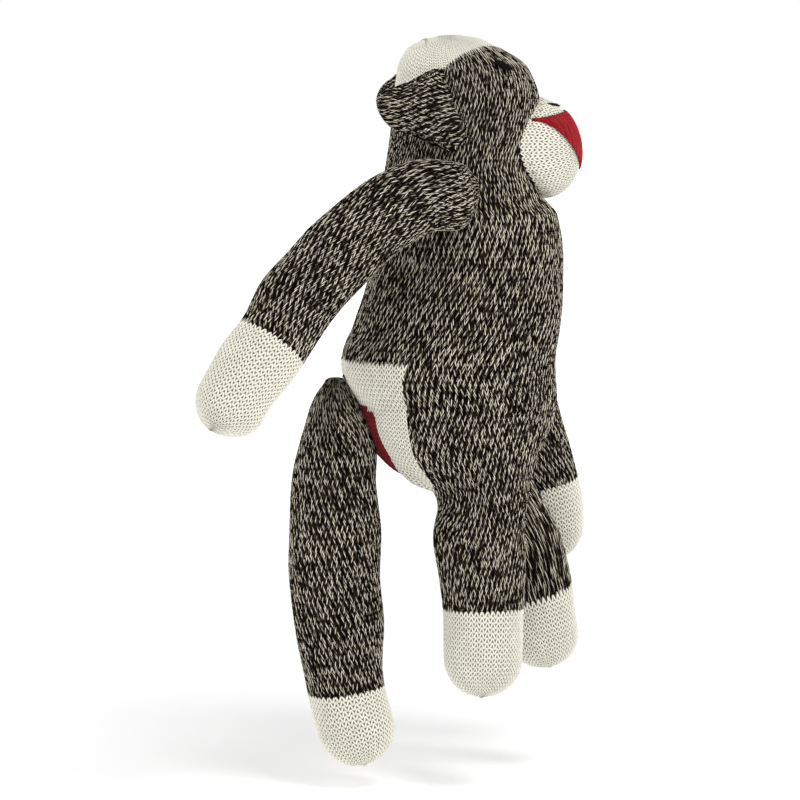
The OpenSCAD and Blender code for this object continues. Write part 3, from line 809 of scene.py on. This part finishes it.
for (label, side), u0, limb in zip(SIDES, (0, HALF), (RIGHT_LEG, LEFT_LEG)):
    area = (side_surface(side), u0, u0 + HALF, -ANKLE_COURSE, 0)
    legs = knit(label + "_leg_cloth", *area, wrap=False, keep=lambda u, v: ~in_patch(u, v))
    dress(legs, marl_body, [label + "_leg_skin", label + "_leg_fill"])
    hip_blend(legs)
    patch = knit(label + "_rump_patch", *area, wrap=False, slant=OPEN_SLANT,
                 keep=lambda u, v: in_patch(u, v) & ~in_red(u, v))
    dress(patch, cream, ["rump_cream"])
    hip_blend(patch)
    spot = knit(label + "_rump_red", *area, wrap=False, slant=OPEN_SLANT, keep=in_red)
    # The rump's red takes the red yarn darkened as painted shade.
    dress(spot, red_in_painted_shade, ["rump_red"])
    hip_blend(spot)
    foot_courses = int((limb.end - limb.change) / COURSE)
    foot = knit(label + "_foot_cloth", foot_surface(side, u0), 0, FOOT_WALES,
                -ANKLE_COURSE - foot_courses, -ANKLE_COURSE, wrap=False, slant=OPEN_SLANT,
                relief=CREAM_RELIEF)
    dress(foot, cream, [label + "_foot"], label + "_leg")


def limb_surface(limb, wales):
    """A limb's cloth, with u in wales round it and v in courses from its root."""
    return lambda u, v: limb.point(np.clip(v * COURSE, 0, limb.end), u / wales)


PLUG_CORE, PLUG_FADE = 7.0, 9.0    # radius of an arm's sewn root, and how far it fades out


def sewn_root(surface, limb, flat_x, depth):
    """An arm's root slopes down to the body's side, at flat_x, and reaches depth into it."""
    pivot, way = limb.pivot, limb.ways[0]
    side = math.copysign(1, flat_x)

    def sewn(u, v):
        p = surface(u, v)
        past = ease((pivot - p) @ way / ARM_CAP + 0.15)
        p[..., 0] = flat_x + (p[..., 0] - flat_x) * (1 - 0.72 * past)
        off_axis = np.hypot(p[..., 1] - pivot[1], p[..., 2] - pivot[2])
        facing = np.clip((pivot[0] - p[..., 0]) * side / ARM_CAP, 0, 1)
        plug = (1 - ease((off_axis - PLUG_CORE) / PLUG_FADE)) * ease(facing * 1.6)
        p[..., 0] -= side * depth * plug
        return p

    return sewn


TAIL_PRESS = 3.6       # how far the tail's root is pressed towards the rump
PRESS_Y, PRESS_Z = 57.0, -45.0      # depth it is pressed in front of, and height it fades below


def pressed(surface):
    """The tail's surface with its root's front side pressed against the rump."""
    def press(u, v):
        p = surface(u, v)
        front = np.clip((PRESS_Y - p[..., 1]) / 6, 0, 1)
        p[..., 1] -= TAIL_PRESS * front * (1 - ease((PRESS_Z - p[..., 2]) / 28))
        return p
    return press


def limb_pieces(label, limb, surface, wales, end_node):
    """A limb's marled cloth and its cream end, both on its own body."""
    change = round(limb.change / COURSE)
    skin = knit(label + "_cloth", surface, 0, wales, 0, change)
    dress(skin, marl_limb, [label + "_skin", label + "_fill"], label)
    ratio = wales / HAND_WALES
    end = knit(label + "_end_cloth", lambda u, v: surface(u * ratio, v), 0, HAND_WALES, change,
               int(limb.end / COURSE), slant=OPEN_SLANT, relief=CREAM_RELIEF)
    dress(end, cream, [end_node], label)


for (label, side), limb, wales, flat_x, depth in zip(
        SIDES, (RIGHT_ARM, LEFT_ARM), (44, 43), (-37.0, 37.6), (7.0, 5.0)):
    limb_pieces(label + "_arm", limb, sewn_root(limb_surface(limb, wales), limb, flat_x, depth),
                wales, label + "_hand")
TAIL_WALES = 53
limb_pieces("tail", TAIL, pressed(limb_surface(TAIL, TAIL_WALES)), TAIL_WALES, "tail_tip")

for label, side in SIDES:
    for layer, part in ((1, "outer"), (-1, "inner")):
        cloth = knit(label + "_ear_" + part, ear_surface(side, layer), 0, EAR_WALES,
                     0, EAR_COURSES, wrap=False, lump=0.25, towards=layer * side)
        dress(cloth, marl_ear, [label + "_ear_skin", label + "_ear_fill"])
        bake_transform(cloth)

# Cream crown of the head

CROWN_WALES, CROWN_COURSES = 76, 22


def crown_surface(u, v):
    angle = -360 * u / CROWN_WALES
    start = crown_line(angle) - 0.6
    f = np.clip(v / CROWN_COURSES, 0, 1)
    z = start + (HEAD_TOP - start) * np.sin(f * PI / 2) ** (1 + 0.25 * f)
    return body_point(angle, z, -0.15 * (1 - f))


crown = knit("crown_cloth", crown_surface, 0, CROWN_WALES, 0, CROWN_COURSES, relief=0.35, lump=0.35,
             slant=OPEN_SLANT)
dress(crown, cream_fine, ["crown_cap"], "head")

# Muzzle

MUZZLE = {"half_w": 24.0, "half_h": 23.5, "depth": 18.0, "z": 85.0, "wrap": 31.5}
NECK_AXIS_Y = -4.0


def face_y(x, z):
    """Depth of the face's front, on which the muzzle sits."""
    front = -42 - (108 - z) * 0.09
    curve = np.sqrt(np.maximum(0.05, 1 - (x / MUZZLE["wrap"]) ** 2))
    return NECK_AXIS_Y + (front - NECK_AXIS_Y) * curve


def dome_point(angle, f):
    """Point of the muzzle's dome: degrees round it, and f degrees up from its rim."""
    a, f = np.radians(angle), np.radians(f)
    x = MUZZLE["half_w"] * np.cos(f) * np.cos(a)
    z = MUZZLE["z"] + MUZZLE["half_h"] * np.cos(f) * np.sin(a)
    return np.stack([x, face_y(x, z) - MUZZLE["depth"] * np.sin(f), z], -1)


def dome_front(x, z, lift):
    """Point of the dome's front at x, z, lifted straight forwards."""
    c = (x / MUZZLE["half_w"]) ** 2 + ((z - MUZZLE["z"]) / MUZZLE["half_h"]) ** 2
    y = face_y(x, z) - MUZZLE["depth"] * np.sqrt(np.maximum(0, 1 - c)) - lift
    return np.stack([x + 0 * z, y, z + 0 * x], -1)


MUZZLE_WALES, MUZZLE_COURSES = 52, 17
MUZZLE_RIM, MUZZLE_SWEEP = -8.0, 98.0    # degrees: where its cloth starts, how far it goes


def muzzle_surface(u, v):
    f = MUZZLE_RIM + MUZZLE_SWEEP * v / MUZZLE_COURSES
    return dome_point(360 * u / MUZZLE_WALES, np.minimum(f, 89.5))


muzzle = knit("muzzle_cloth", muzzle_surface, 0, MUZZLE_WALES, 0, MUZZLE_COURSES,
              relief=0.4, lump=0.3, slant=OPEN_SLANT)
dress(muzzle, cream, ["muzzle_skin", "muzzle_fill"], "head")

LIP_HALF, LIP_TOP, LIP_LOW, LIP_CORNER = 19.8, 102.0, 75.0, 98.6
LIP_WALES, LIP_COURSES = 20, 14


def dome_out(p):
    """Outward direction of the dome at points p."""
    x, z = p[..., 0] / MUZZLE["half_w"], (p[..., 2] - MUZZLE["z"]) / MUZZLE["half_h"]
    root = np.sqrt(np.maximum(0.06, 1 - x * x - z * z))
    slope = MUZZLE["depth"] / root
    return unit(np.stack([slope * x / MUZZLE["half_w"], -np.ones(x.shape),
                          slope * z / MUZZLE["half_h"]], -1))


def lips_surface(u, v):
    s = np.clip(2 * u / LIP_WALES - 1, -1, 1)
    t = np.clip(v / LIP_COURSES, 0, 1)
    low = mix(LIP_LOW, LIP_CORNER, s * s) - 0.5
    high = mix(LIP_TOP, LIP_CORNER, s * s) + 0.5
    puff = np.sqrt(np.maximum(0, (1 - (2 * t - 1) ** 4) * (1 - s ** 4)))
    p = dome_front(LIP_HALF * s, mix(low, high, t), 0)
    return p + dome_out(p) * (0.65 + 0.6 * puff)[..., None]


lips = knit("lips_cloth", lips_surface, 0, LIP_WALES, 0, LIP_COURSES, wrap=False,
            relief=0.35, lump=0.0)
dress(lips, red, ["lips"], "head")

# Sewing: round the muzzle, nostrils and eyes

EYE_ANGLE, EYE_Z = 62.0, 124.5
EYE_HALF_L, EYE_HALF_H = 4.3, 2.4
HEAD_MIDDLE = np.array([0, -5, 115])
lines = []
for a in np.arange(-70, 251, 11.0):
    low, high = dome_point(a, -1.0), dome_point(a + 3, 9.0)
    out = unit(dome_point(a, 5.0) - np.array([0, -20, MUZZLE["z"]]))
    lines.append(stitch_arc(low, high, out, 0.9))
thread("muzzle_sewing", lines, 0.3, cream_thread, ["muzzle_stitch"], "head")

for label, side in SIDES:
    lines = [[dome_front(side * x, 105.0 + 0.55 * k + (x - 4) * 0.14, 0.9)
              for x in np.linspace(3.8, 9.4, 8)] for k in range(2)]
    thread(label + "_nostril_thread", lines, 0.42, black_thread,
           [label + "_nostril"], "head")
    angle, z = np.array(side * EYE_ANGLE), np.array(EYE_Z)
    centre = body_point(angle, z, 0.9)
    up = unit(body_point(angle, z + 2) - body_point(angle, z - 2))
    along = unit(body_point(angle + 4, z) - body_point(angle - 4, z))
    out = unit(np.cross(along, up)) * side
    out = out if np.dot(out, centre - HEAD_MIDDLE) > 0 else -out
    fore = unit(-side * along * 0.8 - 0.6 * up)
    rise = np.cross(out, fore)
    lines = []
    for x in np.linspace(-EYE_HALF_L, EYE_HALF_L, 15):
        half = EYE_HALF_H * math.sqrt(max(0.05, 1 - (x / (EYE_HALF_L + 0.3)) ** 2))
        lines.append([centre + fore * (x + 0.25 * t) + rise * half * t
                      + out * (0.75 * (1 - t * t) - 0.3) for t in np.linspace(-1, 1, 9)])
    thread(label + "_eye_thread", lines, 0.42, black_thread,
           [label + "_eye"], "head")

SEAM_RADIUS = 15.5     # of the round end that a closing seam lies on


def closing_seam(label, limb, body):
    """Short stitches that close the end of a limb, in a line across it."""
    w = limb.ways[-1]
    u, v = limb.sideways(w)
    heart = limb.rows[-1, :3] - w * SEAM_RADIUS
    lines = []
    for a in np.radians(np.arange(-34, 35, 6.8)):
        out = math.cos(a) * w + math.sin(a) * u
        spot = heart + (SEAM_RADIUS + 0.35) * out
        lines.append(stitch_arc(spot - v * 0.9, spot + v * 0.9 + u * 0.3, out, 0.3))
    thread(label + "_closing_stitches", lines, 0.2, cream_thread,
           [label + "_seam"], body)


closing_seam("right_hand", RIGHT_ARM, "right_arm")
closing_seam("left_hand", LEFT_ARM, "left_arm")
closing_seam("right_foot", RIGHT_LEG, "right_leg")
closing_seam("left_foot", LEFT_LEG, "left_leg")
closing_seam("tail_tip", TAIL, "tail")


def top_point(x, y):
    """Point of the head's top above x, y."""
    low, high = 100.0, HEAD_TOP
    for _ in range(20):
        mid = (low + high) / 2
        r = body_row(np.array(mid))
        inside = (x / r[2]) ** 2 + ((y - r[1]) / r[3]) ** 2 < 1
        low, high = (mid, high) if inside else (low, mid)
    return np.array([x, y, low + 0.1])


lines = [stitch_arc(top_point(x, 11.2 + x * x / 60), top_point(x + 0.3, 13.0 + x * x / 60),
                    (0, 0.4, 0.9), 0.35)
         for x in np.arange(-13, 13.1, 2.0)]
thread("crown_closing_stitches", lines, 0.24, cream_thread, ["crown_seam"], "head")

SHOULDER_RING = (9.5, 12.0)    # radii between which an arm's root is sewn on
THREAD_LIFT = 0.2              # of a stitch's ends off the head's or the body's cloth

for (label, side), limb in zip(SIDES, (RIGHT_ARM, LEFT_ARM)):
    lines = []
    for t in np.arange(0, 360, 20.0):
        ring = np.array([0, math.cos(math.radians(t)), math.sin(math.radians(t))])
        ends = []
        for reach in SHOULDER_RING:
            y, z = (limb.pivot + ring * reach)[1:]
            ends.append([side * (flank_x(y, np.array(z)) + THREAD_LIFT), y, z])
        lines.append(stitch_arc(*ends, (side, 0, 0), 0.4))
    thread(label + "_shoulder_sewing", lines, 0.25, dark_thread,
           [label + "_shoulder_stitch"], "torso")
    low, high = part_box(label + "_ear_stitch")
    lines = []
    for z in np.linspace(low[2] / MM + 1, high[2] / MM - 1, 12):
        y = EAR_ROOT[1] - 7.0 + EAR_LEAN * (z - EAR_ROOT[2])
        x = side * (flank_x(y, np.array(z)) + THREAD_LIFT)
        lines.append(stitch_arc((x, y - 1.0, z), (x + side * 0.3, y + 2.0, z + 0.5),
                                (side, -0.4, 0), 0.3))
    thread(label + "_ear_sewing", lines, 0.22, dark_thread,
           [label + "_ear_stitch"], "head")

lines = [stitch_arc((x, 50.2 - x * x * 0.012, -19.8), (x + 0.4, 50.9 - x * x * 0.012, -21.8),
                    (0, 1, 0.2), 0.2)
         for x in np.arange(-4, 4.1, 1.6)]
thread("tail_sewing", lines, 0.22, dark_thread, ["tail_stitch"], "torso")

z = np.array(SPLIT_Z + (PATCH_TOP + 0.3) * COURSE)
lines = []
for side in (-1, 1):
    for k in range(18):
        angle = np.array(180 + side * (10 + 2.5 * k))
        low, high = body_point(angle, z - 1.0, 0.3), body_point(angle + 0.6, z + 1.1, 0.3)
        lines.append(stitch_arc(low, high, body_out(angle, z, 5.0), 0.5))
thread("rump_sewing", lines, 0.26, cream_thread, ["rump_stitch"], "torso")

# ---- Floor, light and camera ---------------------------------------------------------------

FLOOR_Z, FLOOR_SIZE = -216.0, 9000.0


def floor():
    """Pale paper that glows a little, more so far away, so that it has no horizon."""
    x, z = FLOOR_SIZE, FLOOR_Z
    points = np.array([[-x, -x, z], [x, -x, z], [x, x, z], [-x, x, z]])
    uv = np.array([[[0, 0], [1, 0], [1, 1], [0, 1]]], float)
    made = mesh_object("floor", points, np.array([[0, 1, 2, 3]]), uv)
    m = Shader("floor_paper")
    place = m.add("ShaderNodeTexCoord").outputs["Object"]
    grain = m.noise(place, 60.0, 3.0)
    colour = m.mix(m.times(grain, 0.15), (0.93, 0.93, 0.93, 1), (0.88, 0.88, 0.88, 1))
    made.data.materials.append(m.finish(colour, 0.9, grain, 0.0002, 0.1, 0.0))
    far = m.add("ShaderNodeVectorMath", operation="LENGTH")
    m.put(far.inputs[0], place)
    m.bsdf.inputs["Emission Color"].default_value = (1, 1, 1, 1)
    glow = m.plus(0.42, m.times(m.step(far.outputs["Value"], 0.4, 2.5), 0.6))
    m.put(m.bsdf.inputs["Emission Strength"], glow)
    made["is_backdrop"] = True


def lamp(name, place, target, size, power):
    """Soft round lamp that faces the target; metres and watts."""
    data = bpy.data.lights.new(name, "AREA")
    data.shape = "DISK"
    data.size = size
    data.energy = power
    place_object(name, data, place, (target - place).to_track_quat("-Z", "Y"))


def place_object(name, data, place, rotation):
    made = bpy.data.objects.new(name, data)
    made.location = place
    made.rotation_mode = "QUATERNION"
    made.rotation_quaternion = rotation
    bpy.context.scene.collection.objects.link(made)
    return made


floor()

# White all round, bright at the horizon and dimmer above and below
world = bpy.data.worlds.new("studio")
world.use_nodes = True
sky = world.node_tree
height = sky.nodes.new("ShaderNodeSeparateXYZ")
sky.links.new(sky.nodes.new("ShaderNodeTexCoord").outputs["Generated"], height.inputs[0])
level = sky.nodes.new("ShaderNodeMath")
level.operation = "ABSOLUTE"
sky.links.new(height.outputs[2], level.inputs[0])
bright = sky.nodes.new("ShaderNodeMapRange")
for name, value in (("From Min", 0.3), ("From Max", 0.6), ("To Min", 1.0), ("To Max", 0.3)):
    bright.inputs[name].default_value = value
sky.links.new(level.outputs[0], bright.inputs["Value"])
sky.links.new(bright.outputs["Result"], sky.nodes["Background"].inputs["Strength"])
sky.nodes["Background"].inputs[0].default_value = (1, 1, 1, 1)
bpy.context.scene.world = world
bpy.context.scene.view_settings.view_transform = "Standard"

AZIMUTH, ELEVATION = math.radians(258), math.radians(5)
AIM = Vector((0.0021, 0.0236, -0.0328))
DISTANCE = 2.2
FRAME_WIDTH = 0.376    # what the picture shows at that distance, metres
SENSOR = 36            # mm
back = Vector((math.sin(AZIMUTH) * math.cos(ELEVATION),
               -math.cos(AZIMUTH) * math.cos(ELEVATION), math.sin(ELEVATION)))
right = Vector((0, 0, 1)).cross(back).normalized()

lamp("key", AIM + back * 0.9 + right * 0.5 + Vector((0, 0, 1.3)), AIM, 0.7, 13)
lamp("fill", AIM + back * 1.1 - right * 0.9 + Vector((0, 0, 0.3)), AIM, 1.0, 1.5)

camera_data = bpy.data.cameras.new("camera")
camera_data.sensor_width = SENSOR
camera_data.lens = SENSOR * DISTANCE / FRAME_WIDTH
bpy.context.scene.camera = place_object("camera", camera_data, AIM + back * DISTANCE,
                                        back.to_track_quat("Z", "Y"))

low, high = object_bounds()
